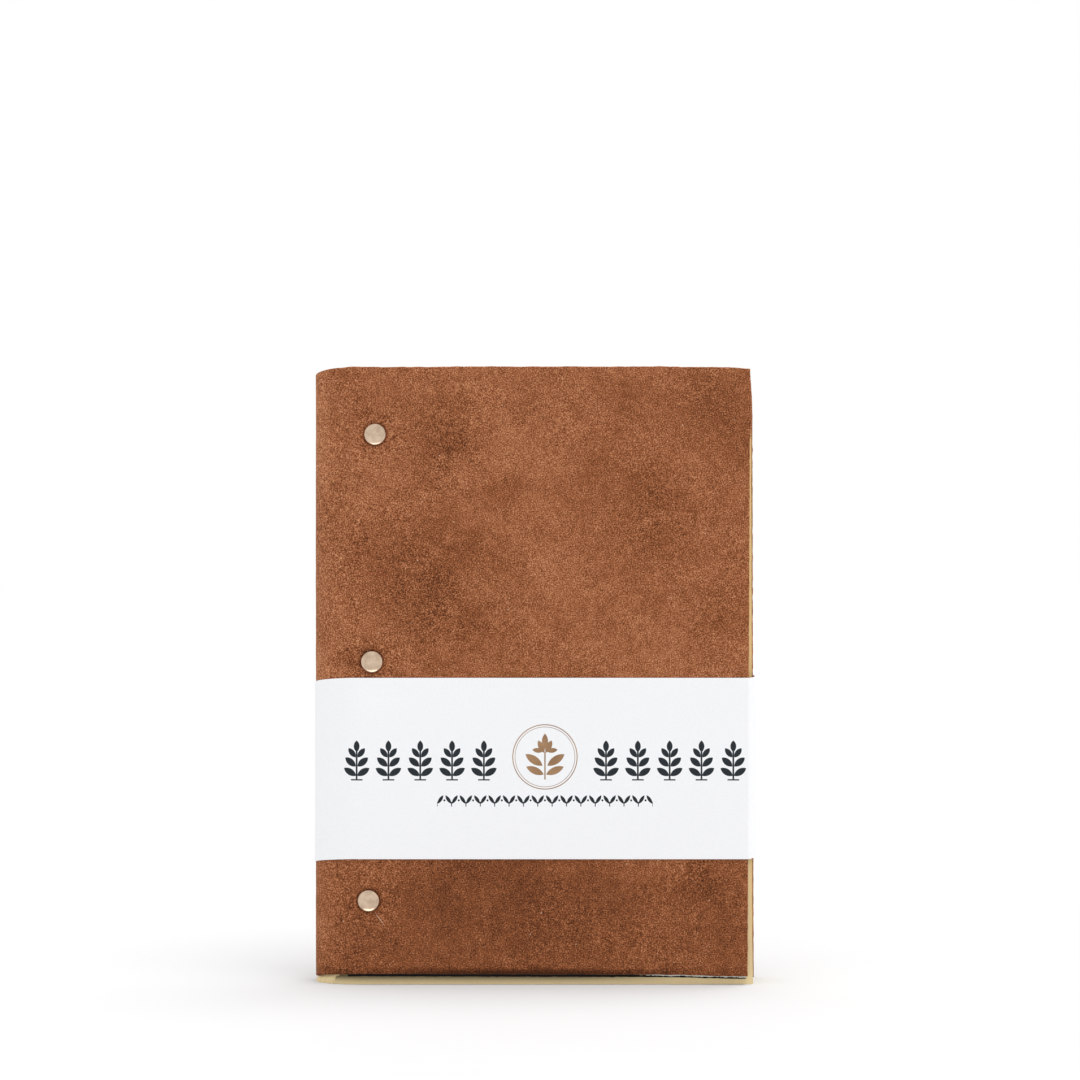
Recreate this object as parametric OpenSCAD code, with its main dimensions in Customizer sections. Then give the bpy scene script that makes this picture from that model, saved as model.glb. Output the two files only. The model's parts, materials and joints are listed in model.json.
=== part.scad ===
// Pocket journal: a suede cover riveted round a block of folded signatures, with a paper belly band.
// It stands on its lower edge with +Z up, the front cover towards -Y and the spine towards -X.
// The origin is at the middle of its footprint. Distances from the spine are measured from the
// outermost line of the spine towards the fore-edge.

/* [Cover] */
// Width of the front cover, from the outermost line of the spine to the fore-edge
cover_w = 127.6; // [110:0.1:150]
// Height of the front cover
cover_h = 178; // [150:1:210]
// Thickness of the suede
leather_t = 1.6; // [1:0.1:2.4]
// Thickness of the cream lining inside each cover
lining_t = 0.2; // [0.1:0.05:0.5]
// Depth of the rounded spine, from its outermost line to where the covers run flat
spine_round = 15; // [12:0.5:18]
// How far the pages and the back cover reach below the front cover
overhang = 3; // [0.5:0.1:4]
// How far the back cover reaches past the front cover at the bottom of the fore-edge
back_extra_bottom = 2.5; // [0:0.1:4]
// The same distance at the top of the fore-edge
back_extra_top = 1.9; // [0:0.1:4]
// How much lower the back cover's top edge is than the front cover's
back_drop = 0.8; // [0:0.1:3]

/* [Binding] */
// Distance from the spine to the line where the covers and leaves flex
flex_u = 24; // [22.5:0.5:28]
// Distance of the bottom rivet from the spine
rivet_u_bottom = 16.1; // [15:0.1:18.5]
// Distance of the top rivet from the spine
rivet_u_top = 18; // [15:0.1:18.5]
// Height of the bottom rivet above the front cover's lower edge
rivet_z_bottom = 21.7; // [15:0.1:30]
// Height of the middle rivet above the front cover's lower edge
rivet_z_middle = 91.6; // [90:0.1:110]
// Height of the top rivet above the front cover's lower edge
rivet_z_top = 158.1; // [130:0.1:165]
// Diameter of a rivet's cap
cap_d = 6.35; // [5:0.05:7]
// Height of a rivet's cap above the suede
cap_h = 1.3; // [0.8:0.1:1.35]
// Outer diameter of a rivet's tube
tube_d = 3; // [2.5:0.1:3.2]
// Diameter of the stud that is pressed into the tube
stud_d = 2.1; // [1.5:0.1:2.2]

/* [Pages] */
// Number of folded signatures
signatures = 10; // [6:2:12]
// Leaves in one signature
signature_leaves = 8; // [4:4:12]
// Thickness of one leaf of paper
leaf_t = 0.155; // [0.1:0.005:0.2]
// Distance from the spine to the fore-edge of the pages, at their lower edge
page_w_bottom = 128.4; // [105:0.1:128.4]
// The same distance at the top: the pages were trimmed a little out of square
page_w_top = 127.2; // [105:0.1:128.4]
// Height of the pages
page_h = 178; // [145:0.1:205]
// How much the fore-edges of the bundles of leaves differ
deckle = 0.4; // [0:0.1:1]

/* [Belly band] */
// Height of the paper band
band_h = 53; // [30:1:55]
// Height of the band's lower edge above the surface that the journal stands on
band_z = 36.9; // [32:0.1:38]
// Thickness of the band's paper
band_t = 0.2; // [0.1:0.05:0.4]
// Clearance between the band and the suede
band_gap = 0.15; // [0.1:0.05:0.5]
// How far the band bulges out between the covers at the fore-edge
band_bulge = 0.8; // [0.5:0.1:2]
// Width of the glued overlap at the back of the band
band_lap = 14; // [6:1:30]

/* [Hidden] */
$fn = 48;
bundle_count = 2 * signatures;
bundle_pitch = signature_leaves * leaf_t / 2;
block_half = signatures * signature_leaves * leaf_t / 2;
half_t = block_half + lining_t + leather_t;
// Gaps between the leaf bundles, at the flex line, and between a lining's edge and its cover's
sheet_gap = 0.04;
flex_gap = 0.1;
lining_inset = 0.4;
front_top = overhang + cover_h;
back_top = front_top - back_drop;
overall_w = cover_w + back_extra_bottom;
// Shape of the spine: half-ellipses outside the suede, inside it and round the folds
spine_inner = spine_round - leather_t - lining_t;
fold_gap = 0.2;
arc_steps = 24;
fold_steps = 4;
hole_d = tube_d + 0.2;
bore_d = stud_d + 0.1;
stud_end_gap = 1;
tube_end_gap = 0.1;
tube_floor = 0.4;
cap_rim = 0.35;
dome_steps = 8;
rivet_levels = [rivet_z_bottom, rivet_z_middle, rivet_z_top];
rivet_names = ["bottom", "middle", "top"];
lap_u = 0.55 * cover_w;
wall_steps = 8;

function two_digits(k) = k < 10 ? str("0", k) : str(k);

// Half-ellipse round the spine, from the front (-Y) over the spine to the back (+Y)
function spine_arc(depth, half) =
    [for (i = [0:arc_steps]) let (t = -90 + 180 * i / arc_steps)
        [spine_round - depth * cos(t), half * sin(t)]];

function reversed(points) = [for (i = [len(points) - 1:-1:0]) points[i]];

// Distance from the spine to the fold of the sheet that lies at y
function fold_u(y) =
    spine_round - (spine_inner - fold_gap) * sqrt(max(0, 1 - pow(y / block_half, 2)));

// The rivets stand on a line that leans a little away from the spine
function rivet_u(z) = let (share = (z - rivet_z_bottom) / (rivet_z_top - rivet_z_bottom))
    rivet_u_bottom + (rivet_u_top - rivet_u_bottom) * share;

function bundle_y(k) = -block_half + (k - 1) * bundle_pitch;

// Hand-trimmed fore-edges: how much shorter than the widest one each bundle is
function bundle_trim(k) = deckle * (0.5 + 0.5 * sin(137 * k));

// Outline of the band seen from above; out is its distance from the suede
function band_outline(out) = concat(
    spine_arc(spine_round + out, half_t + out),
    [for (i = [wall_steps:-1:0]) let (s = 2 * i / wall_steps - 1)
        [cover_w + (s + 1) / 2 * back_extra_bottom + band_bulge * (1 - s * s) + out, s * (half_t + out)]]
);

// Moves shapes drawn from the outermost line of the spine into the part's frame
module from_spine() {
    translate([-overall_w / 2, 0, 0]) children();
}

// A flat panel drawn in X and Z that fills y0 to y1
module panel(points, y0, y1) {
    translate([0, y1, 0]) rotate([90, 0, 0]) linear_extrude(y1 - y0) polygon(points);
}

module rivet_holes() {
    for (z = rivet_levels) {
        translate([rivet_u(z), 0, overhang + z]) rotate([90, 0, 0])
            cylinder(d = hole_d, h = 4 * half_t, center = true);
    }
}

function front_outline(inset) = [
    [flex_u + flex_gap, overhang + inset],
    [cover_w - inset, overhang + inset],
    [cover_w - inset, front_top - inset],
    [flex_u + flex_gap, front_top - inset]
];

function back_outline(inset) = [
    [flex_u + flex_gap, 0],
    [cover_w + back_extra_bottom - inset, 0],
    [cover_w + back_extra_top - inset, back_top - inset],
    [flex_u + flex_gap, back_top - inset]
];

module cover_front() {
    color("sienna") from_spine() panel(front_outline(0), -half_t, -half_t + leather_t);
}

module cover_back() {
    color("sienna") from_spine() panel(back_outline(0), half_t - leather_t, half_t);
}

module lining_front() {
    y0 = -half_t + leather_t;
    color("wheat") from_spine() panel(front_outline(lining_inset), y0, y0 + lining_t);
}

module lining_back() {
    y1 = half_t - leather_t;
    color("wheat") from_spine() panel(back_outline(lining_inset), y1 - lining_t, y1);
}

// The suede over the spine and the bound margins
// Its upper and lower edges slope from the front cover's to the back cover's
module cover_spine() {
    end_u = flex_u - flex_gap;
    color("peru") from_spine() difference() {
        linear_extrude(front_top) polygon(concat(
            [[end_u, -half_t]],
            spine_arc(spine_round, half_t),
            [[end_u, half_t], [end_u, block_half]],
            reversed(spine_arc(spine_inner, block_half)),
            [[end_u, -block_half]]
        ));
        trim_prism([[-half_t - 1, -1], [half_t, -1], [half_t, 0], [-half_t, overhang],
            [-half_t - 1, overhang]]);
        trim_prism([[-half_t, front_top + 1], [-half_t, front_top], [half_t, back_top],
            [half_t + 1, back_top], [half_t + 1, front_top + 1]]);
        rivet_holes();
    }
}

// A wedge across the spine, drawn in Y and Z
module trim_prism(points) {
    translate([-1, 0, 0]) rotate([90, 0, 90]) linear_extrude(flex_u + 2) polygon(points);
}

// The bound margin of one signature, from its fold to the flex line
module signature_fold(k) {
    y0 = -block_half + (k - 1) * 2 * bundle_pitch + sheet_gap / 2;
    y1 = y0 + 2 * bundle_pitch - sheet_gap;
    color("oldlace") from_spine() difference() {
        linear_extrude(page_h) polygon(concat(
            [for (i = [0:fold_steps]) let (y = y0 + (y1 - y0) * i / fold_steps) [fold_u(y), y]],
            [[flex_u - flex_gap, y1], [flex_u - flex_gap, y0]]
        ));
        rivet_holes();
    }
}

// The free part of half a signature, from the flex line to the fore-edge
module leaves(k) {
    y0 = bundle_y(k) + sheet_gap / 2;
    color("cornsilk") from_spine() panel([
        [flex_u + flex_gap, 0],
        [page_w_bottom - bundle_trim(k), 0],
        [page_w_top - bundle_trim(k), page_h],
        [flex_u + flex_gap, page_h]
    ], y0, y0 + bundle_pitch - sheet_gap);
}

// Profile of a domed cap from its rim to its crown, with its flat face at z = 0
function dome_profile() =
    [for (i = [0:dome_steps]) let (t = 90 * i / dome_steps)
        [cap_d / 2 * cos(t), cap_rim + (cap_h - cap_rim) * sin(t)]];

// Places a rivet's half so that its own +Z points out of the front (side -1) or the back (side 1)
module rivet_place(z, side) {
    from_spine() translate([rivet_u(z), side * half_t, overhang + z])
        rotate([-90 * side, 0, 0]) children();
}

// The front half of a rivet: a domed cap on a stud
module rivet_cap(z) {
    stud_l = 2 * half_t - stud_end_gap;
    color("tan") rivet_place(z, -1) rotate_extrude() polygon(concat(
        [[0, -stud_l], [stud_d / 2, -stud_l], [stud_d / 2, 0], [cap_d / 2, 0]],
        dome_profile()
    ));
}

// The rear half of a rivet: a domed cap on a tube that takes the stud
module rivet_socket(z) {
    tube_l = 2 * half_t - tube_end_gap;
    color("tan") rivet_place(z, 1) rotate_extrude() polygon(concat(
        [[0, -tube_floor], [bore_d / 2, -tube_floor], [bore_d / 2, -tube_l], [tube_d / 2, -tube_l]],
        [[tube_d / 2, 0], [cap_d / 2, 0]],
        dome_profile()
    ));
}

// A paper loop that slides over the closed journal, with its glued overlap at the back
module belly_band() {
    outer = band_gap + band_t;
    color("whitesmoke") from_spine() translate([0, 0, band_z]) {
        difference() {
            linear_extrude(band_h) polygon(band_outline(outer));
            translate([0, 0, -1]) linear_extrude(band_h + 2) polygon(band_outline(band_gap));
        }
        translate([lap_u, half_t + outer, 0]) cube([band_lap, band_t, band_h]);
    }
}

cover_front();
cover_spine();
cover_back();
lining_front();
lining_back();
for (k = [1:signatures]) {
    signature_fold(k);
}
for (k = [1:bundle_count]) {
    leaves(k);
}
for (i = [0:2]) {
    rivet_cap(rivet_levels[i]);
    rivet_socket(rivet_levels[i]);
}
belly_band();
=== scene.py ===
"""Looks of the pocket journal: suede cover, riveted signatures and a paper belly band, in a plain studio."""
import json
import math

import bmesh
import bpy
import numpy as np
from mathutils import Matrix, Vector, noise

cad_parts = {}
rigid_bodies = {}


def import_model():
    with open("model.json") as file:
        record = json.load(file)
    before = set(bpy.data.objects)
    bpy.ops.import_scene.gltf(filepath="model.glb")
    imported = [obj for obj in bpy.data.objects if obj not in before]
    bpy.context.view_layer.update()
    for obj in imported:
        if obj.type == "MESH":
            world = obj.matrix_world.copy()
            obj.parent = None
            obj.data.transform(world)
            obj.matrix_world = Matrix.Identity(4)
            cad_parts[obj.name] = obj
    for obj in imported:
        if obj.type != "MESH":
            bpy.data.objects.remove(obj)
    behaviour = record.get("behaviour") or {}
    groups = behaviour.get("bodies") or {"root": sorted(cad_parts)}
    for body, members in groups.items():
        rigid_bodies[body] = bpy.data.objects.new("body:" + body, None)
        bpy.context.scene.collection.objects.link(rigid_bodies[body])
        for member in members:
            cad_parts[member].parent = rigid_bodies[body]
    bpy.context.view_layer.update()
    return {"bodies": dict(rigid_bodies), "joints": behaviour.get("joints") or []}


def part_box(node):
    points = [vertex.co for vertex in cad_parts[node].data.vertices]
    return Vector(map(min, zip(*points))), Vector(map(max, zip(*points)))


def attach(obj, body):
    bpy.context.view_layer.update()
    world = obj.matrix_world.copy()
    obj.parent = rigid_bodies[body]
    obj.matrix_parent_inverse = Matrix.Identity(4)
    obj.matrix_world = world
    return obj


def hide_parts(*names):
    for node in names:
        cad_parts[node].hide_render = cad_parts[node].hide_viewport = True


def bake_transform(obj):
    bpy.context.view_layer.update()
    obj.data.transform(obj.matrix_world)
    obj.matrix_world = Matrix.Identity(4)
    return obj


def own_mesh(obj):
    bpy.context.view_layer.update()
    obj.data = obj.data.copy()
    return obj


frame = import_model()

# ---------------------------------------------------------------- sizes, in metres, from the frame
MM = 0.001
FRONT_LOW, FRONT_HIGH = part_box("cover_front")
BACK_LOW, BACK_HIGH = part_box("cover_back")
LINING_LOW, LINING_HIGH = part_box("lining_front")
BAND_LOW, BAND_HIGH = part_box("belly_band")
PAGE_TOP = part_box("leaves_01")[1].z

# X of the spine's outermost line, and of the line where the covers and leaves bend
SPINE_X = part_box("cover_spine")[0].x
FLEX_X = next(j["pos_m"][0] for j in frame["joints"] if j["name"] == "front_cover_flex")
# half the journal's thickness without its rivets, and what it is made of
HALF_T = -FRONT_LOW.y
LEATHER_T = FRONT_HIGH.y - FRONT_LOW.y
LINING_T = LINING_HIGH.y - LINING_LOW.y
BLOCK_HALF = HALF_T - LEATHER_T - LINING_T
# the part of the cover that curves round the spine, and how much lower its edges lie than the covers'
SPINE_ROUND = 15 * MM
SPINE_DROOP = 1.7 * MM
# how far the pages and back cover reach below the front cover, and how much of the front lining shows there
OVERHANG = FRONT_LOW.z
LINING_BELOW = 0.85 * MM
# how far below square the front cover's lower edge is cut, in mm: (spine, fore-edge), and more at the corner,
# which lies between these shares of the cover's width
LOWER_TRIM = (-0.25, 0.1)
CORNER_TRIM = 0.45
CORNER_SHARES = (0.8, 1.0)

SIGNATURES = 10
LEAVES_PER_BUNDLE = 4
BUNDLES = 2 * SIGNATURES
LEAF_PITCH = BLOCK_HALF / (SIGNATURES * LEAVES_PER_BUNDLE)
LEAF_T = 0.12 * MM
# how much narrower the leaves are at the top than at the foot, and how far the folds spread at their foot
PAGE_LEAN = 1.2 * MM
FOOT_SPLAY = 1.35 * MM

RIVETS = ("bottom", "middle", "top")
RIVET_SINK = 0.35 * MM

# the band's clearance, thickness, glued overlap (from X to X, on the back) and the middle of its print
BAND_GAP = 0.12 * MM
BAND_T = 0.16 * MM
LAP_LOW, LAP_HIGH = 5.13 * MM, 19.13 * MM
PRINT_X = (SPINE_X + FRONT_HIGH.x) / 2 + 3.9 * MM


def rivet_centre(name):
    """Middle of a rivet's cap, in X and Z."""
    low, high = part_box(f"rivet_{name}_cap")
    return (low.x + high.x) / 2, (low.z + high.z) / 2


RIVET_CENTRES = {name: rivet_centre(name) for name in RIVETS}


# ---------------------------------------------------------------- small tools
def lerp(a, b, t):
    """From a at t = 0 to b at t = 1."""
    return a + (b - a) * t


def smooth(value, start, end):
    """0 before start and 1 beyond end, with a soft change between."""
    t = min(1, max(0, (value - start) / (end - start)))
    return t * t * (3 - 2 * t)


def wobble(x, y, z, size):
    """Smooth noise from -1 to 1 whose bumps are about size wide."""
    return noise.noise(Vector((x / size, y / size, z / size)))


def steps(*stretches):
    """Values along a line: each stretch is (start, end, step), and shares its ends with its neighbours."""
    values = []
    for start, end, step in stretches:
        count = max(1, round(abs(end - start) / step))
        values += [lerp(start, end, i / count) for i in range(count)]
    return np.array(values + [stretches[-1][1]])


def new_object(name, verts, faces, material):
    """A closed mesh, shaded smooth but for edges where its faces meet at more than 60 degrees."""
    mesh = bpy.data.meshes.new(name)
    mesh.from_pydata([tuple(v) for v in verts], [], [tuple(f) for f in faces])
    bm = bmesh.new()
    bm.from_mesh(mesh)
    bmesh.ops.recalc_face_normals(bm, faces=bm.faces)
    bm.to_mesh(mesh)
    bm.free()
    mesh.materials.append(material)
    mesh.polygons.foreach_set("use_smooth", [True] * len(mesh.polygons))
    mesh.set_sharp_from_angle(angle=math.radians(60))
    obj = bpy.data.objects.new(name, mesh)
    bpy.context.scene.collection.objects.link(obj)
    return obj


def sheet_geometry(outer, inner, rim=(0, 0, 0, 0), rim_rows=0):
    """Closed sheet between two grids of points (columns, rows, 3).

    rim is how far the cut edge bulges on the sides: first column, last column, first row, last row.
    """
    columns, rows = outer.shape[:2]
    index = np.arange(columns * rows).reshape(columns, rows)
    quads = np.stack([index[:-1, :-1], index[1:, :-1], index[1:, 1:], index[:-1, 1:]], -1).reshape(-1, 4)
    count = columns * rows
    loop = [(i, 0) for i in range(columns)]
    loop += [(columns - 1, j) for j in range(1, rows)]
    loop += [(i, rows - 1) for i in range(columns - 2, -1, -1)]
    loop += [(0, j) for j in range(rows - 2, 0, -1)]
    middle = (outer + inner) / 2
    away = np.zeros((len(loop), 3))
    for k, (i, j) in enumerate(loop):
        for side, here, inside in ((rim[0], i == 0, (1, j)), (rim[1], i == columns - 1, (columns - 2, j)),
                                   (rim[2], j == 0, (i, 1)), (rim[3], j == rows - 1, (i, rows - 2))):
            if here and side:
                direction = middle[i, j] - middle[inside]
                away[k] += side * direction / np.linalg.norm(direction)
    ii, jj = np.array(loop).T
    rings = [index[ii, jj]]
    points = [outer.reshape(-1, 3), inner.reshape(-1, 3)]
    start = 2 * count
    for r in range(1, rim_rows + 1):
        t = r / (rim_rows + 1)
        points.append(lerp(outer[ii, jj], inner[ii, jj], t) + away * math.sin(math.pi * t) ** 0.6)
        rings.append(start + np.arange(len(loop)))
        start += len(loop)
    rings.append(count + index[ii, jj])
    faces = [quads, quads[:, ::-1] + count]
    for a, b in zip(rings, rings[1:]):
        faces.append(np.stack([a, b, np.roll(b, -1), np.roll(a, -1)], -1))
    return np.concatenate(points), np.concatenate(faces)


def joined(parts):
    """One set of points and faces from several."""
    points, faces, start = [], [], 0
    for p, f in parts:
        points.append(p)
        faces.append(f + start)
        start += len(p)
    return np.concatenate(points), np.concatenate(faces)


# ---------------------------------------------------------------- materials
class Nodes:
    """Short calls for building a material's node tree."""

    def __init__(self, name):
        self.material = bpy.data.materials.new(name)
        self.material.use_nodes = True
        self.tree = self.material.node_tree
        self.shader = self.tree.nodes["Principled BSDF"]
        self.coordinates = self.tree.nodes.new("ShaderNodeTexCoord").outputs["Object"]

    def link(self, value, socket):
        """Joins another node's output to a socket, or sets the socket to a plain value."""
        if hasattr(value, "is_linked"):
            self.tree.links.new(value, socket)
        else:
            socket.default_value = value

    def math(self, operation, a, b=0.0):
        """Result of a Math node; a and b are other nodes' outputs or numbers."""
        node = self.tree.nodes.new("ShaderNodeMath")
        node.operation = operation
        for socket, value in zip(node.inputs, (a, b)):
            self.link(value, socket)
        return node.outputs[0]

    def noise(self, size, detail=2.0, roughness=0.5, stretch=(1, 1, 1), distortion=0.0):
        """Soft noise, 0 to 1, with features about size wide, in metres."""
        mapping = self.tree.nodes.new("ShaderNodeMapping")
        mapping.inputs["Scale"].default_value = stretch
        self.tree.links.new(self.coordinates, mapping.inputs["Vector"])
        node = self.tree.nodes.new("ShaderNodeTexNoise")
        node.inputs["Scale"].default_value = 1 / size
        node.inputs["Detail"].default_value = detail
        node.inputs["Roughness"].default_value = roughness
        node.inputs["Distortion"].default_value = distortion
        self.tree.links.new(mapping.outputs[0], node.inputs["Vector"])
        return node.outputs["Fac"]

    def axes_in_mm(self):
        """The place of a point on the part, as three numbers in millimetres."""
        separate = self.tree.nodes.new("ShaderNodeSeparateXYZ")
        self.tree.links.new(self.coordinates, separate.inputs[0])
        return [self.math("MULTIPLY", separate.outputs[axis], 1 / MM) for axis in "XYZ"]

    def smooth_step(self, value, start, end):
        """0 before start and 1 beyond end, with a soft change between; end may be the lower one."""
        node = self.tree.nodes.new("ShaderNodeMapRange")
        node.interpolation_type = "SMOOTHSTEP"
        node.inputs["From Min"].default_value = start
        node.inputs["From Max"].default_value = end
        self.tree.links.new(value, node.inputs["Value"])
        return node.outputs["Result"]

    def distance(self, a, b):
        """Length of the vector (a, b)."""
        return self.math("SQRT", self.math("ADD", self.math("MULTIPLY", a, a), self.math("MULTIPLY", b, b)))

    def cells(self, size):
        """Distance to the nearest of a scatter of points about size apart, as a share of size."""
        node = self.tree.nodes.new("ShaderNodeTexVoronoi")
        node.inputs["Scale"].default_value = 1 / size
        self.tree.links.new(self.coordinates, node.inputs["Vector"])
        return node.outputs["Distance"]

    def weighted_sum(self, *terms):
        """Sum of (value, weight) pairs, each value times its weight."""
        total = 0.0
        for value, weight in terms:
            total = self.math("ADD", total, self.math("MULTIPLY", value, weight))
        return total

    def ramp(self, value, stops):
        """stops are (position, colour) pairs; a colour may be one number."""
        node = self.tree.nodes.new("ShaderNodeValToRGB")
        elements = node.color_ramp.elements
        while len(elements) < len(stops):
            elements.new(0.5)
        for element, (position, colour) in zip(elements, stops):
            element.position = position
            element.color = (*colour, 1) if hasattr(colour, "__len__") else (colour, colour, colour, 1)
        self.link(value, node.inputs[0])
        return node.outputs["Color"]

    def mix(self, kind, factor, a, b):
        """Blends colour b over colour a; a colour may be three numbers."""
        node = self.tree.nodes.new("ShaderNodeMix")
        node.data_type = "RGBA"
        node.blend_type = kind
        self.link(factor, node.inputs[0])
        for value, socket in ((a, node.inputs[6]), (b, node.inputs[7])):
            self.link((*value, 1) if isinstance(value, tuple) and len(value) == 3 else value, socket)
        return node.outputs[2]

    def bump(self, height, distance, strength=1.0, below=None):
        """A normal from a height of 0 to 1, distance deep, on top of another bump's normal."""
        node = self.tree.nodes.new("ShaderNodeBump")
        node.inputs["Distance"].default_value = distance
        node.inputs["Strength"].default_value = strength
        self.link(height, node.inputs["Height"])
        if below is not None:
            self.tree.links.new(below, node.inputs["Normal"])
        return node.outputs[0]

    def finish(self, colour, normal=None, **settings):
        """settings are the shader's sockets in small letters, with _ for a space."""
        sockets = {socket.name.lower().replace(" ", "_"): socket for socket in self.shader.inputs}
        self.link(colour, sockets["base_color"])
        if normal is not None:
            self.link(normal, sockets["normal"])
        for name, value in settings.items():
            self.link(value, sockets[name])
        return self.material


def srgb(r, g, b):
    """A colour given as it looks on screen, 0 to 255, in the linear numbers that shaders take."""
    return tuple((c / 255 / 12.92) if c <= 10 else ((c / 255 + 0.055) / 1.055) ** 2.4 for c in (r, g, b))


LINING_CREAM = srgb(232, 204, 150)
PAGE_CREAM = srgb(231, 209, 162)


def leaf_shape(n, x, z, centre, angle, half_length, half_width):
    """How far a point is outside a pointed leaf, which is the overlap of two circles."""
    radius = (half_length ** 2 + half_width ** 2) / (2 * half_width)
    reach = radius - half_width
    across = (-math.sin(angle) * reach, math.cos(angle) * reach)
    far = []
    for sign in (-1, 1):
        dx = n.math("SUBTRACT", x, centre[0] + sign * across[0])
        dz = n.math("SUBTRACT", z, centre[1] + sign * across[1])
        far.append(n.math("SUBTRACT", n.distance(dx, dz), radius))
    return n.math("MAXIMUM", *far)


def bar_shape(n, x, z, centre, half_width, half_height):
    """How far a point is outside an upright rectangle."""
    dx = n.math("SUBTRACT", n.math("ABSOLUTE", n.math("SUBTRACT", x, centre[0])), half_width)
    dz = n.math("SUBTRACT", n.math("ABSOLUTE", n.math("SUBTRACT", z, centre[1])), half_height)
    return n.math("MAXIMUM", dx, dz)


def ring_shape(n, distance, radius, half_width):
    """How far a point, at a distance from the centre, is outside a ring."""
    return n.math("SUBTRACT", n.math("ABSOLUTE", n.math("SUBTRACT", distance, radius)), half_width)


def union(n, shapes):
    """How far a point is outside all of the shapes."""
    result = shapes[0]
    for shape in shapes[1:]:
        result = n.math("MINIMUM", result, shape)
    return result


def clamped(n, shape):
    """1 inside a shape and 0 outside it, over a slightly soft edge."""
    softness = 0.07
    node = n.math("SUBTRACT", 0.5, n.math("DIVIDE", shape, softness)).node
    node.use_clamp = True
    return node.outputs[0]


# darker places of the nap: share of the front's width and height, radius in mm, depth
SMUDGES = (
    (0.30, 0.86, 9, 0.55), (0.15, 0.70, 16, 0.45), (0.28, 0.62, 13, 0.7), (0.14, 0.54, 6, 1.0),
    (0.94, 0.94, 13, 0.6), (0.77, 0.72, 12, 0.35), (0.42, 0.66, 7, 0.3), (0.33, 0.14, 12, 0.5),
    (0.55, 0.12, 18, 0.35), (0.90, 0.10, 12, 0.4),
)


def bell(n, squared):
    """1 where squared is 0, falling softly to 0 as it grows."""
    return n.math("EXPONENT", n.math("MULTIPLY", squared, -1))


def smudge_field(n, x, z):
    """How much the smudges darken the point (x, z), in millimetres: each is a soft round patch."""
    width, height = (FRONT_HIGH.x - SPINE_X) / MM, (FRONT_HIGH.z - FRONT_LOW.z) / MM
    total = 0.0
    for share_x, share_z, radius, depth in SMUDGES:
        dx = n.math("DIVIDE", n.math("SUBTRACT", x, SPINE_X / MM + share_x * width), radius)
        dz = n.math("DIVIDE", n.math("SUBTRACT", z, FRONT_LOW.z / MM + share_z * height), radius)
        squared = n.math("ADD", n.math("MULTIPLY", dx, dx), n.math("MULTIPLY", dz, dz))
        total = n.math("ADD", total, n.math("MULTIPLY", depth, bell(n, squared)))
    return total


def spread(n, fac, weight):
    """A noise's swing to either side of its middle, times weight."""
    return n.math("MULTIPLY", n.math("SUBTRACT", fac, 0.5), weight)


def rivet_contact_shade(n, x, z):
    """Painted contact shade: 1 in the narrow ring of suede that each rivet's cap presses down, fading to 0
    outwards.
    """
    rings = 0.0
    for centre in RIVET_CENTRES.values():
        dx = n.math("SUBTRACT", x, centre[0] / MM)
        dz = n.math("SUBTRACT", z, centre[1] / MM)
        rings = n.math("ADD", rings, n.smooth_step(n.distance(dx, dz), 4.1, 3.1))
    return rings


def scuff(n, x, y, z):
    """1 on a hair-thin scratch beside the bottom rivet, on the front only."""
    low_x, low_z = (c / MM for c in RIVET_CENTRES["bottom"])
    shape = leaf_shape(n, n.math("SUBTRACT", x, low_x), n.math("SUBTRACT", z, low_z),
                       (3.3, -5.4), math.radians(-53), 2.4, 0.1)
    return n.math("MULTIPLY", clamped(n, shape), n.math("LESS_THAN", y, 0))


def height_over_edge(n, x, z):
    """Height above the front cover's lower edge, in millimetres; lower_trim gives the same edge."""
    share = n.math("DIVIDE", n.math("SUBTRACT", x, SPINE_X / MM), (FRONT_HIGH.x - SPINE_X) / MM)
    trim = n.math("ADD", LOWER_TRIM[0], n.math("MULTIPLY", share, LOWER_TRIM[1] - LOWER_TRIM[0]))
    trim = n.math("ADD", trim, n.math("MULTIPLY", n.smooth_step(share, *CORNER_SHARES), CORNER_TRIM))
    return n.math("ADD", n.math("SUBTRACT", z, OVERHANG / MM), trim)


def painted_contact_shadow(n, x, y, height):
    """Painted contact shadow: 1 in the middle of the front cover's lower edge, fading upwards and to both
    sides.
    """
    middle, reach, rise = -4.6, 34, 2.4
    share = n.math("DIVIDE", n.math("SUBTRACT", x, middle), reach)
    shadow_weight = n.math("MULTIPLY", bell(n, n.math("MULTIPLY", share, share)), n.smooth_step(height, rise, 0))
    return n.math("MULTIPLY", shadow_weight, n.math("LESS_THAN", y, 0))


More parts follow.
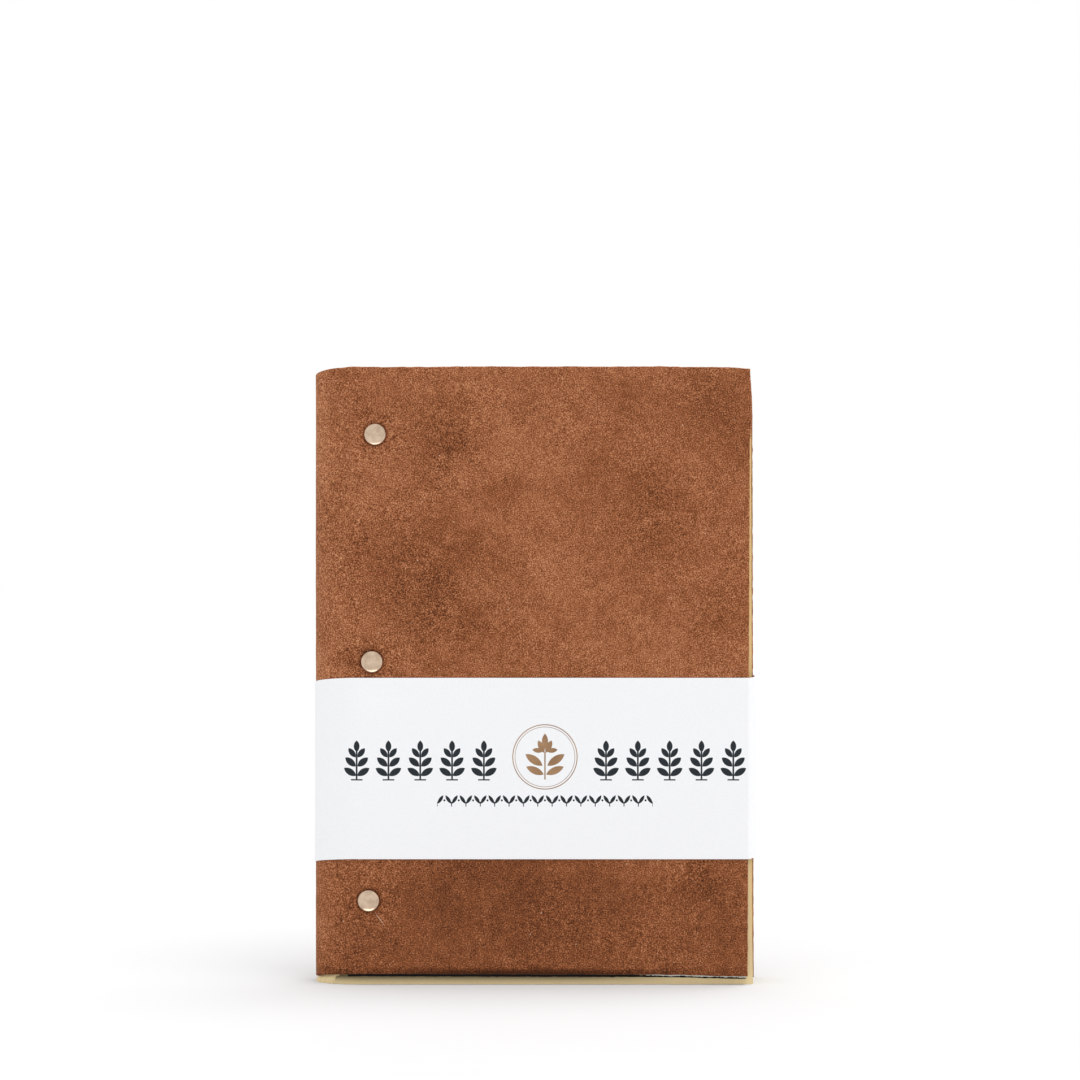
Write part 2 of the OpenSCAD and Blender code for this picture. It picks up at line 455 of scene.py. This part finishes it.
def suede_material():
    """Brown suede: a fine nap over soft patches and smudges, with painted shade low down, along the lower
    edge and round the rivets, and painted light along the spine.
    """
    n = Nodes("suede")
    x, y, z = n.axes_in_mm()
    height = height_over_edge(n, x, z)
    patches = n.noise(34 * MM, 2, 0.5, distortion=0.6)
    clouds = n.noise(10 * MM, 3, 0.6, distortion=0.4)
    mottle = n.noise(1.9 * MM, 2, 0.6)
    nap = n.noise(0.38 * MM, 2, 0.75)

    # the noise gives the smudges uneven outlines, and behind the front face they slant away
    behind = n.math("ADD", y, HALF_T / MM)
    warped_x = n.math("ADD", n.math("ADD", x, n.math("MULTIPLY", behind, 1.9)), spread(n, clouds, 26))
    warped_z = n.math("ADD", n.math("SUBTRACT", z, n.math("MULTIPLY", behind, 1.3)), spread(n, patches, 30))
    smudge = smudge_field(n, warped_x, warped_z)
    # painted shade: the suede darker towards its foot, fully below 25 mm and fading out by 55 mm
    painted_low_shade = n.smooth_step(z, 55, 25)
    # painted shade: darker over the lowest 3.5 mm above the front cover's lower edge
    painted_shade = n.smooth_step(height, 3.5, 0)
    # painted light: the suede paler within 8 mm of the spine's outermost line, unevenly
    along_spine = n.smooth_step(x, SPINE_X / MM + 8, SPINE_X / MM + 1)
    painted_spine_light = n.math("MULTIPLY", along_spine, n.math("SUBTRACT", 1.3, clouds))

    grain = n.math("ADD", spread(n, mottle, 0.34), spread(n, nap, 1.9))
    tone = n.math("ADD", 0.5, n.math("MULTIPLY", grain, n.math("ADD", 1.0, n.math("MULTIPLY", smudge, 0.25))))
    tone = n.math("ADD", tone, n.math("ADD", spread(n, patches, 0.3), spread(n, clouds, 0.26)))
    darker = n.weighted_sum((smudge, 0.23), (painted_low_shade, 0.09), (painted_shade, 0.1),
                            (painted_contact_shadow(n, x, y, height), 0.42), (painted_spine_light, -0.08), (rivet_contact_shade(n, x, z), 0.22))
    tone = n.math("SUBTRACT", tone, darker)
    colour = n.ramp(tone, [(0.1, srgb(62, 32, 17)), (0.5, srgb(142, 82, 49)), (0.9, srgb(207, 148, 109))])

    lint = n.smooth_step(n.cells(5.5 * MM), 0.045, 0.02)
    pale = n.math("MAXIMUM", n.math("MULTIPLY", lint, 0.7), n.math("MULTIPLY", scuff(n, x, y, z), 0.6))
    colour = n.mix("MIX", pale, colour, srgb(214, 184, 160))
    normal = n.bump(mottle, 0.3 * MM, 0.5)
    normal = n.bump(nap, 0.2 * MM, 0.6, normal)
    return n.finish(colour, normal, roughness=0.95, specular_ior_level=0.1,
                    sheen_weight=0.2, sheen_roughness=0.5, sheen_tint=(*srgb(235, 190, 150), 1))


def paper_material(name, colour, fleck, bump=0.03 * MM, painted_shade=0.0):
    """Uncoated paper; the last argument is how much painted shade darkens the strip below the front cover,
    but not at the fore.
    """
    n = Nodes(name)
    cloud = n.noise(14 * MM, 2, 0.5)
    fibre = n.noise(0.5 * MM, 3, 0.6, stretch=(1, 1, 0.4))
    tone = n.mix("MULTIPLY", 1.0, (*colour, 1), n.ramp(cloud, [(0.3, 1 - fleck), (0.7, 1.0)]))
    tone = n.mix("MULTIPLY", 1.0, tone, n.ramp(fibre, [(0.3, 1 - fleck), (0.7, 1.0)]))
    if painted_shade:
        x, _, z = n.axes_in_mm()
        # painted shade on the strip just below the front cover's edge, darkest there and clear at the foot
        strip = n.math("MULTIPLY", n.smooth_step(z, 0.0, 2.6), n.smooth_step(z, 3.9, 3.2))
        before_fore_part = n.smooth_step(x, 48, 8)
        dark = n.math("MULTIPLY", n.math("MULTIPLY", strip, before_fore_part), painted_shade)
        tone = n.mix("MULTIPLY", dark, tone, srgb(84, 80, 70))
    return n.finish(tone, n.bump(fibre, bump, 0.5), roughness=0.85, specular_ior_level=0.25)


def front_lining_material():
    """The lining's paper: silvery below the suede's edge, with a painted dark shadow along its torn lower
    edge.

    The painted shadow is a thin line near the fore-edge, and covers all the silvery part nearer the spine.
    """
    n = Nodes("lining_front")
    x, _, z = n.axes_in_mm()
    height = height_over_edge(n, x, z)
    fibre = n.noise(0.5 * MM, 3, 0.6)
    ragged = n.noise(1.6 * MM, 3, 0.7)
    edge = n.math("ADD", height, spread(n, ragged, 1.1))
    # painted shadow of the crevice under the front cover: its top edge, higher towards the spine
    gap_shadow_top = n.math("ADD", 0.42 - LINING_BELOW / MM, n.math("MULTIPLY", n.smooth_step(x, 40, 16), 0.7))
    painted_gap_shadow = clamped(n, n.math("SUBTRACT", edge, gap_shadow_top))
    cream = n.mix("MULTIPLY", 1.0, (*LINING_CREAM, 1), n.ramp(fibre, [(0.3, 0.94), (0.7, 1.0)]))
    colour = n.mix("MIX", n.smooth_step(height, 0.1, -0.02), cream, srgb(226, 229, 221))
    # painted shadow: near-black over the torn lower edge
    colour = n.mix("MIX", painted_gap_shadow, colour, srgb(18, 17, 17))
    return n.finish(colour, n.bump(fibre, 0.03 * MM, 0.5), roughness=0.85, specular_ior_level=0.25)


def rivet_material():
    """Pale brushed metal, duller in worn spots."""
    n = Nodes("rivet_metal")
    wear = n.noise(1.8 * MM, 3, 0.6)
    brushed = n.noise(0.22 * MM, 2, 0.5)
    tone = n.ramp(wear, [(0.3, srgb(184, 160, 138)), (0.65, srgb(213, 188, 164))])
    return n.finish(tone, n.bump(brushed, 0.01 * MM, 0.4), metallic=1.0,
                    roughness=n.ramp(wear, [(0.3, 0.34), (0.7, 0.2)]))


def sprig_shape(n, across, up):
    """An upright sprig about 11 mm tall: a stem, three pairs of leaves, a bud and a foot."""
    side = n.math("ABSOLUTE", across)
    return union(n, [
        bar_shape(n, across, up, (0, -0.8), 0.26, 4.2),
        leaf_shape(n, side, up, (1.95, -2.9), math.radians(32), 2.1, 0.95),
        leaf_shape(n, side, up, (1.8, 0.0), math.radians(40), 2.0, 0.95),
        leaf_shape(n, side, up, (1.35, 2.7), math.radians(52), 1.7, 0.8),
        leaf_shape(n, across, up, (0, 4.6), math.radians(90), 1.7, 0.85),
        bar_shape(n, side, up, (0, -5.2), 1.7, 0.2),
    ])


def chain_shape(n, along, up):
    """A small running ornament: every 4.2 mm a pair of slanted leaves on a short stem, and a dot between."""
    pitch = 4.2
    # whole pitches are added because MODULO mirrors its pattern below zero
    cell = n.math("SUBTRACT", n.math("MODULO", n.math("ADD", along, 20 * pitch), pitch), pitch / 2)
    side = n.math("ABSOLUTE", cell)
    dot = n.math("SUBTRACT", n.distance(n.math("SUBTRACT", side, pitch / 2), up), 0.3)
    return union(n, [dot, leaf_shape(n, side, up, (0.95, 0.25), math.radians(56), 1.5, 0.5),
                     bar_shape(n, cell, up, (0, -1.1), 0.14, 0.7)])


def wreath_shape(n, across, up):
    """A double ring with a leafy branch and a small five-petalled flower."""
    side = n.math("ABSOLUTE", across)
    far = n.distance(across, up)
    return union(n, [
        ring_shape(n, far, 9.4, 0.14),
        ring_shape(n, far, 8.75, 0.08),
        bar_shape(n, across, up, (0, -2.6), 0.2, 4.0),
        leaf_shape(n, side, up, (2.9, -4.0), math.radians(24), 2.8, 1.05),
        leaf_shape(n, side, up, (3.2, -0.9), math.radians(34), 3.0, 1.15),
        leaf_shape(n, side, up, (1.1, 3.0), math.radians(64), 2.0, 0.85),
        leaf_shape(n, side, up, (2.1, 1.9), math.radians(8), 1.6, 0.7),
        leaf_shape(n, across, up, (0, 4.6), math.radians(90), 2.2, 0.9),
    ])


def band_print_material():
    """White paper printed with a row of sprigs, a round bronze wreath and a small running ornament."""
    n = Nodes("band_print")
    x, _, z = n.axes_in_mm()
    across = n.math("SUBTRACT", x, PRINT_X / MM)
    up = n.math("SUBTRACT", z, BAND_LOW.z / MM)
    side = n.math("ABSOLUTE", across)

    # heights above the band's lower edge, and the sprigs' row to each side of the wreath, in mm
    sprigs_up, wreath_up, chain_up, chain_reach = 28.4, 29.9, 17.2, 31.5
    first, pitch, count = 13.2, 9.3, 5  # each row's first edge, from sprig to sprig, and how many
    along = n.math("SUBTRACT", side, first)
    cell = n.math("SUBTRACT", n.math("MODULO", n.math("ADD", along, 4 * pitch), pitch), pitch / 2)
    outside = n.math("MAXIMUM", n.math("MULTIPLY", along, -1), n.math("SUBTRACT", along, count * pitch))
    garland = n.math("MAXIMUM", sprig_shape(n, cell, n.math("SUBTRACT", up, sprigs_up)), outside)
    chain = chain_shape(n, side, n.math("SUBTRACT", up, chain_up))
    chain = n.math("MAXIMUM", chain, n.math("SUBTRACT", side, chain_reach))
    wreath = wreath_shape(n, across, n.math("SUBTRACT", up, wreath_up))

    fibre = n.noise(0.6 * MM, 3, 0.6)
    sheen = n.noise(7 * MM, 2, 0.5)
    paper = n.ramp(fibre, [(0.3, srgb(230, 231, 233)), (0.7, srgb(234, 235, 237))])
    ink = n.ramp(fibre, [(0.3, srgb(26, 32, 37)), (0.7, srgb(40, 46, 52))])
    bronze = n.ramp(sheen, [(0.3, srgb(128, 96, 68)), (0.7, srgb(166, 132, 98))])
    colour = n.mix("MIX", clamped(n, union(n, [garland, chain])), paper, ink)
    colour = n.mix("MIX", clamped(n, wreath), colour, bronze)
    return n.finish(colour, n.bump(fibre, 0.02 * MM, 0.4), roughness=0.6, specular_ior_level=0.2)


SUEDE = suede_material()
LININGS = {-1: front_lining_material(), 1: paper_material("lining_back", LINING_CREAM, 0.06)}
PAGE = paper_material("page_paper", PAGE_CREAM, 0.05)
# the first signature's leaves carry painted shade below the front cover's edge
OUTER_PAGE = paper_material("page_paper_outer", PAGE_CREAM, 0.05, painted_shade=0.85)
METAL = rivet_material()
PRINTED = band_print_material()
PLAIN_BAND = paper_material("band_paper", srgb(236, 237, 239), 0.02, 0.02 * MM)


# ---------------------------------------------------------------- suede cover
def section(side, depth, half, fore_x):
    """Line round one half of the cover from the spine's outermost point to the fore-edge, as seen from above.

    Returns a function of s, which runs from 0 to 1 round the arc and from 1 to 2 along the flat face.
    """
    def point(s):
        if s <= 1:
            angle = s * math.pi / 2
            return SPINE_X + SPINE_ROUND - depth * math.cos(angle), side * half * math.sin(angle)
        return lerp(SPINE_X + SPINE_ROUND, fore_x, s - 1), side * half
    return point


def fore_edge(side, z):
    """X of the cover's cut fore-edge: a hand-cut line, a little out of true."""
    share = (z - BACK_LOW.z) / (FRONT_HIGH.z - BACK_LOW.z)
    corner = max(0, (share - 0.92) / 0.08) ** 2
    # in mm: wider towards the top, with a step near it on the front, and rounded off at the corner
    if side < 0:
        out = lerp(-0.6, 0.2, share) + 0.42 * smooth(share, 0.87, 0.91) - 0.5 * corner
        return FRONT_HIGH.x + out * MM
    return BACK_HIGH.x - (0.15 + 0.4 * share + 0.8 * corner) * MM


def lower_trim(x):
    """How far below square the front cover's lower edge is cut at x: it falls towards the fore corner."""
    share = (x - SPINE_X) / (FRONT_HIGH.x - SPINE_X)
    return (lerp(*LOWER_TRIM, share) + CORNER_TRIM * smooth(share, *CORNER_SHARES)) * MM


def upper_trim(x):
    """How far below square the front cover's upper edge is cut at x: it, too, falls at the fore corner."""
    share = (x - SPINE_X) / (FRONT_HIGH.x - SPINE_X)
    return (0.3 * smooth(share, 0.78, 0.87) + 0.45 * max(0, (share - 0.9) / 0.1) ** 2) * MM


def droop(y):
    """How much lower the rounded spine's edges lie at y than the flat covers' edges."""
    return SPINE_DROOP * (1 - min(1, abs(y) / HALF_T))


def edge_ends(y):
    """Lower and upper edge of the cover at y."""
    share = (y + HALF_T) / (2 * HALF_T)
    return lerp(OVERHANG, 0, share), lerp(FRONT_HIGH.z, BACK_HIGH.z, share) - droop(y)


def dent(x, z):
    """How far the suede is drawn in round the rivets."""
    depth = 0
    for cx, cz in RIVET_CENTRES.values():
        away = math.hypot(x - cx, z - cz)
        depth += 0.5 * MM * math.exp(-(away / (4.6 * MM)) ** 2)
    return depth


def suede_half(name, side):
    """The suede from the middle of the spine over one face: the front's side is -1, the back's is 1."""
    fore_x = (FRONT_HIGH if side < 0 else BACK_HIGH).x
    flat_start = SPINE_X + SPINE_ROUND
    flat_length = fore_x - flat_start
    flex = (FLEX_X - flat_start) / flat_length
    mm_share = MM / flat_length
    s_values = steps((0, 1, 1 / 16), (1, 1 + flex - 4 * mm_share, mm_share),
                     (1 + flex - 4 * mm_share, 1 + flex + 6 * mm_share, 0.5 * mm_share),
                     (1 + flex + 6 * mm_share, 2, 1.1 * mm_share))
    v_values = steps((0, 1, 1 / 156))
    inner_depth, inner_half = SPINE_ROUND - LEATHER_T, HALF_T - LEATHER_T
    outer = np.zeros((len(s_values), len(v_values), 3))
    inner = outer.copy()
    rim = 0.22 * MM
    for i, s in enumerate(s_values):
        for j, v in enumerate(v_values):
            x0, y0 = section(side, SPINE_ROUND, HALF_T, fore_x)(s)
            x1, y1 = section(side, inner_depth, inner_half, fore_x)(s)
            low, high = edge_ends(y0 if s < 1 else side * HALF_T)
            low += 0.0 if side > 0 and s >= 1 else 0.1 * MM * wobble(x0, 0, side, 2.2 * MM)
            high += 0.16 * MM * wobble(x0, 5, side, 2.4 * MM) + 0.3 * MM * wobble(x0, 2, side, 30 * MM)
            if side < 0:
                low -= lower_trim(x0) * min(1, s)
                high -= upper_trim(x0)
            z = lerp(low + rim, high - rim, v)
            if s > 1:
                edge = fore_edge(side, z) - rim + 0.16 * MM * wobble(3, z, side, 2.0 * MM)
                shift = (edge - fore_x) * (s - 1)
                x0, x1 = x0 + shift, x1 + shift
            # (nx, ny) points outwards from the rounded spine, or straight out of the flat face
            nx, ny = (x0 - SPINE_X - SPINE_ROUND) / SPINE_ROUND ** 2, y0 / HALF_T ** 2
            if s > 1:
                nx = 0
            size = math.hypot(nx, ny)
            push = 0.1 * MM * wobble(x0, y0, z, 24 * MM) - 0.05 * MM + 0.06 * MM * wobble(x0, y0, z, 5 * MM)
            push -= dent(x0, z) if s > 0.5 else 0
            outer[i, j] = x0 + push * nx / size, y0 + push * ny / size, z
            inner[i, j] = x1, y1, z
    points, faces = sheet_geometry(outer, inner, (0, rim, rim, rim), 3)
    return new_object(name, points, faces, SUEDE)


def add_cover():
    """The suede in two halves, which meet along the middle of the spine."""
    for name, side, body, nodes in (("suede_front", -1, "front_cover", ("cover_front", "cover_spine")),
                                    ("suede_back", 1, "back_cover", ("cover_back",))):
        piece = suede_half(name, side)
        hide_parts(*nodes)
        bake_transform(piece)


def add_linings():
    """The cream linings, tucked a little way under the bound margin."""
    for name, side, body, node in (("lining_front_sheet", -1, "front_cover", "lining_front"),
                                   ("lining_back_sheet", 1, "back_cover", "lining_back")):
        low_box, high_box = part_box(node)
        start = FLEX_X - 14 * MM
        x_values = steps((start, high_box.x, 0.6 * MM))
        v_values = steps((0, 1, 1 / 60))
        outer = np.zeros((len(x_values), len(v_values), 3))
        inner = outer.copy()
        bottom = OVERHANG - LINING_BELOW if side < 0 else low_box.z + 0.15 * MM
        for i, x in enumerate(x_values):
            for j, v in enumerate(v_values):
                torn = 0.12 * MM * wobble(x, 4, 0, 1.3 * MM) + 0.1 * MM * wobble(x, 9, 0, 4 * MM)
                low, high = bottom, high_box.z - 0.3 * MM
                if side < 0:
                    low, high = low + torn - lower_trim(x), high - upper_trim(x)
                z = lerp(low, high, v)
                share = (x - start) / (x_values[-1] - start)
                edge = fore_edge(side, z) - 0.42 * MM + 0.12 * MM * wobble(1, z, side, 5 * MM)
                px = lerp(start, edge, share)
                outer[i, j] = px, side * (HALF_T - LEATHER_T - 0.01 * MM), z
                inner[i, j] = px, side * (BLOCK_HALF + 0.03 * MM), z
        piece = new_object(name, *sheet_geometry(outer, inner), LININGS[side])
        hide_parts(node)
        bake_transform(piece)


# ---------------------------------------------------------------- signatures of leaves
def fold_x(y):
    """X of the fold of the sheet that lies at y: the folds follow the rounded spine."""
    depth = SPINE_ROUND - LEATHER_T - 0.1 * MM
    return SPINE_X + SPINE_ROUND - depth * math.sqrt(max(0, 1 - (y / BLOCK_HALF) ** 2))


def splay(y, z):
    """How far a fold spreads outwards at its foot, below the lower edge of the spine's suede."""
    below = (edge_ends(y)[0] - z) / (0.5 * MM)
    return FOOT_SPLAY * min(1, max(0, below))


def leaf_geometry(signature, leaf):
    """One leaf from its fold to its fore-edge. leaf counts 0 to 7 from the front of the signature."""
    in_signature = 2 * LEAVES_PER_BUNDLE
    y_low = -BLOCK_HALF + (signature - 1) * in_signature * LEAF_PITCH
    y_middle = y_low + in_signature / 2 * LEAF_PITCH
    y = y_low + (leaf + 0.5) * LEAF_PITCH
    nest = min(leaf, in_signature - 1 - leaf)
    half = abs(y - y_middle)
    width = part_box(f"leaves_{2 * signature - 1 + leaf // LEAVES_PER_BUNDLE:02d}")[1].x
    key = signature * 8.17 + leaf * 1.37  # gives each leaf its own noise
    fold_steps = 4
    # seen from above: round the signature's fold, then straight to the fore-edge, in short steps at the bend
    path = []
    for i in range(fold_steps + 1):
        turn = math.pi / 2 * i / fold_steps
        yy = y_middle + (y - y_middle) * math.sin(turn)
        path.append((fold_x(yy) + nest * LEAF_PITCH + 0.5 * half * (1 - math.cos(turn)), yy))
    start = path[-1][0]
    for x in steps((start, FLEX_X - 3 * MM, 3 * MM), (FLEX_X - 3 * MM, FLEX_X + 12 * MM, 1.25 * MM),
                   (FLEX_X + 12 * MM, width, 11 * MM))[1:]:
        path.append((x, y))
    path = np.array(path)
    tangent = np.gradient(path, axis=0)
    tangent /= np.linalg.norm(tangent, axis=1)[:, None]
    across = np.stack([-tangent[:, 1], tangent[:, 0]], 1) * LEAF_T / 2
    top = PAGE_TOP - 0.15 * MM * (1 + wobble(key, 0, 0, 1.0))
    foot = 3 * MM / top  # the rows lie closer below the front cover's edge, where the leaves show
    rows = steps((0, foot, foot / 6), (foot, 1, 1 / 26))
    grids = []
    for sign in (-1, 1):
        grid = np.zeros((len(path), len(rows), 3))
        flat = path + sign * across
        for j, v in enumerate(rows):
            z = lerp(0, top, v)
            ragged = 0.32 * MM * wobble(key, z, 0, 9 * MM) + 0.2 * MM * wobble(0, z, key, 3.5 * MM)
            trim = 0.25 * MM * (wobble(key, key, 0, 1.0) - 1) + ragged * 0.6
            grid[:, j, 0] = flat[:, 0]
            grid[:fold_steps + 1, j, 0] -= splay(y, z)
            grid[-1, j, 0] += trim - PAGE_LEAN * v + 0.55 * MM * max(0, 1 - v / 0.15)
            grid[:, j, 1] = flat[:, 1]
            grid[:, j, 2] = z
        grids.append(grid)
    return sheet_geometry(*grids)


def add_leaves():
    """A piece for each bundle of four leaves; the first bundle of a signature stands for its fold, too."""
    for k in range(1, BUNDLES + 1):
        signature, second = (k + 1) // 2, (k + 1) % 2
        leaves = range(LEAVES_PER_BUNDLE * second, LEAVES_PER_BUNDLE * (second + 1))
        points, faces = joined([leaf_geometry(signature, leaf) for leaf in leaves])
        node = f"leaves_{k:02d}"
        piece = new_object(f"{node}_sheets", points, faces, OUTER_PAGE if signature == 1 else PAGE)
        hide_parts(node, *([] if second else [f"signature_{signature:02d}_fold"]))
        if node in frame["bodies"]:
            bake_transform(piece)
        else:
            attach(piece, "root")


# ---------------------------------------------------------------- rivets
def lathe(profile, turns):
    """Points and faces of a closed profile of (radius, height), turned round the height axis."""
    points = []
    for radius, height in profile[1:-1]:
        for t in range(turns):
            angle = 2 * math.pi * t / turns
            points.append((radius * math.cos(angle), radius * math.sin(angle), height))
    faces = []
    rings = len(profile) - 2
    for r in range(rings - 1):
        for t in range(turns):
            a, b = r * turns + t, r * turns + (t + 1) % turns
            faces.append((a, b, b + turns, a + turns))
    low, high = len(points), len(points) + 1
    points += [(0, 0, profile[0][1]), (0, 0, profile[-1][1])]
    last = (rings - 1) * turns
    for t in range(turns):
        faces.append((low, (t + 1) % turns, t))
        faces.append((high, last + t, last + (t + 1) % turns))
    return points, faces


def add_rivets():
    """Three pairs of domed caps, each with its stud or tube inside the binding."""
    low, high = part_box("rivet_top_cap")
    cap_r = (high.x - low.x) / 2
    cap_h = -low.y - HALF_T
    rim = 0.42 * MM
    dome = [(cap_r * math.cos(t) ** 0.8, rim + (cap_h - rim) * math.sin(t))
            for t in (math.radians(a) for a in range(0, 90, 6))]
    edge = [(cap_r - 0.18 * MM, -0.02 * MM), (cap_r - 0.04 * MM, 0.08 * MM), (cap_r, 0.2 * MM)]
    for name, (x, z) in RIVET_CENTRES.items():
        for kind, side, shank_r in (("cap", -1, 1.05 * MM), ("socket", 1, 1.5 * MM)):
            shank = HALF_T * 1.7
            profile = [(0, -shank), (shank_r, -shank), (shank_r, -0.05 * MM), *edge, *dome, (0, cap_h)]
            points, faces = lathe(profile, 64)
            placed = []
            for px, py, height in points:
                pit = 0.02 * MM * wobble(px, py, z, 0.9 * MM) if height > rim else 0
                placed.append((x + px, side * (HALF_T - RIVET_SINK + height + pit), z + py))
            piece = new_object(f"rivet_{name}_{kind}_domed", placed, faces, METAL)
            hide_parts(f"rivet_{name}_{kind}")
            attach(piece, "root")


# ---------------------------------------------------------------- belly band
def band_path(side, out):
    """Line of one half of the band from the spine over the face to the middle of the fore-edge."""
    depth, half = SPINE_ROUND + out, HALF_T + out
    path = []
    for i in range(21):
        angle = math.pi / 2 * i / 20
        path.append((SPINE_X + SPINE_ROUND - depth * math.cos(angle), side * half * math.sin(angle)))
    middle_z = (BAND_LOW.z + BAND_HIGH.z) / 2
    corner = fore_edge(side, middle_z) + 0.35 * MM + out
    middle = (fore_edge(-1, middle_z) + fore_edge(1, middle_z)) / 2 + 1.0 * MM + out
    bend = 1.1 * MM
    stops = (path[-1][0], LAP_LOW, LAP_HIGH, corner - bend)
    for start, end in zip(stops, stops[1:]):
        path += [(x, side * half) for x in np.linspace(start, end, 13)[1:]]
    for i in range(1, 9):
        angle = math.pi / 2 * i / 8
        path.append((corner - bend + bend * math.sin(angle), side * (half - bend + bend * math.cos(angle))))
    for i in range(1, 9):
        t = i / 8
        path.append((lerp(corner, middle, math.sin(math.pi / 2 * t)), side * lerp(half - bend, 0, t)))
    return path


def band_strip(side, first_x, last_x, lap_lift):
    """The stretch of one half of the band between two X values, and its length.

    Where it lies over the band's other end, lap_lift holds it up, and its cut end curls up a little.
    """
    rows = steps((0, 1, 1 / 24))
    rise_over, curl_over = 3 * MM, 4 * MM
    grids = []
    for out in (BAND_GAP + BAND_T, BAND_GAP):
        path = [(x, y) for x, y in band_path(side, out) if first_x <= x <= last_x]
        grid = np.zeros((len(path), len(rows), 3))
        for i, (x, y) in enumerate(path):
            curl = max(0, (x - LAP_HIGH) / curl_over + 1) ** 2
            rise = lap_lift * (min(1, max(0, (x - LAP_LOW) / rise_over + 1)) + 1.5 * curl)
            for j, v in enumerate(rows):
                z = lerp(BAND_LOW.z, BAND_HIGH.z, v) - (droop(y) if x < SPINE_X + SPINE_ROUND else 0)
                lift = 0.05 * MM * (1 + wobble(x, side, z, 22 * MM)) * min(1, abs(y) / HALF_T)
                grid[i, j] = x, y + side * (lift + rise), z
        grids.append(grid)
        length = sum(math.dist(a, b) for a, b in zip(path, path[1:]))
    return sheet_geometry(*grids), length


def band_half(name, side, material):
    """Half of the band. The rear half has the glued overlap, with the end from the spine on top."""
    stretches = [(-1, 1, 0)] if side < 0 else [(-1, LAP_HIGH, BAND_T + 0.03 * MM), (LAP_LOW, 1, 0)]
    strips = [band_strip(side, *stretch) for stretch in stretches]
    points, faces = joined([geometry for geometry, _ in strips])
    return new_object(name, points, faces, material), sum(length for _, length in strips)


def add_band():
    """The band in two halves, the front one printed and the rear one plain."""
    for name, side, joint, material in (("band_front_half", -1, "front_cover_flex", PRINTED),
                                        ("band_rear_half", 1, "back_cover_flex", PLAIN_BAND)):
        piece, length = band_half(name, side, material)
        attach(piece, "band")
        if side < 0:
            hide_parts("belly_band")
        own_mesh(piece)


# ---------------------------------------------------------------- studio
def add_lamp(name, light, place, towards):
    """A lamp at a place. The vector towards points back along its beam, from what it lights."""
    lamp = bpy.data.objects.new(name, light)
    lamp.location = place
    lamp.rotation_mode = "QUATERNION"
    lamp.rotation_quaternion = Vector(towards).to_track_quat("Z", "Y")
    bpy.context.scene.collection.objects.link(lamp)
    return lamp


def add_rivet_glint(name, x, side, z):
    """A small soft card below a rivet that only shiny surfaces reflect, for the light edge low on its cap."""
    card = bpy.data.lights.new(name, "AREA")
    card.shape = "RECTANGLE"
    card.size, card.size_y = 14 * MM, 6 * MM
    card.energy = 0.0006
    away = Vector((0, side * 7 * MM, -13 * MM))
    lamp = add_lamp(name, card, Vector((x, side * HALF_T, z)) + away, away)
    lamp.visible_camera = lamp.visible_diffuse = False


def add_studio():
    """Pale floor under an even white sky, with a soft light from either side."""
    n = Nodes("floor")
    tone = n.ramp(n.noise(120 * MM, 2, 0.5), [(0.3, 0.597), (0.7, 0.607)])
    reach = 6
    corners = [(-reach, -reach, 0), (reach, -reach, 0), (reach, reach, 0), (-reach, reach, 0)]
    mesh = bpy.data.meshes.new("floor")
    mesh.from_pydata(corners, [], [(0, 1, 2, 3)])
    mesh.materials.append(n.finish(tone, roughness=1.0, specular_ior_level=0.0))
    floor = bpy.data.objects.new("floor", mesh)
    bpy.context.scene.collection.objects.link(floor)

    world = bpy.data.worlds.new("studio")
    world.use_nodes = True
    world.node_tree.nodes["Background"].inputs["Color"].default_value = (1, 1, 1, 1)
    world.node_tree.nodes["Background"].inputs["Strength"].default_value = 1.0
    bpy.context.scene.world = world
    bpy.context.scene.view_settings.view_transform = "Standard"

    for name, towards, strength in (("left_light", (-0.75, -0.1, 0.65), 0.25),
                                    ("right_light", (0.28, -0.1, 0.95), 2.2)):
        light = bpy.data.lights.new(name, "SUN")
        light.energy = strength
        light.angle = math.radians(50)
        add_lamp(name, light, (0, 0, 0), towards).visible_glossy = False
    for name, (x, z) in RIVET_CENTRES.items():
        for side in (-1, 1):
            add_rivet_glint(f"glint_{name}_{'front' if side < 0 else 'back'}", x, side, z)


def add_camera():
    """Square on to the front cover, with the journal low in the frame."""
    camera = bpy.data.cameras.new("camera")
    distance, width = 0.78, 0.3158
    camera.sensor_width = 36
    camera.lens = camera.sensor_width * distance / width
    eye = bpy.data.objects.new("camera", camera)
    eye.location = (1.2 * MM, -HALF_T - distance, 130.2 * MM)
    eye.rotation_euler = (math.pi / 2, 0, 0)
    bpy.context.scene.collection.objects.link(eye)
    bpy.context.scene.camera = eye


add_camera()
add_studio()
add_cover()
add_linings()
add_leaves()
add_rivets()
add_band()
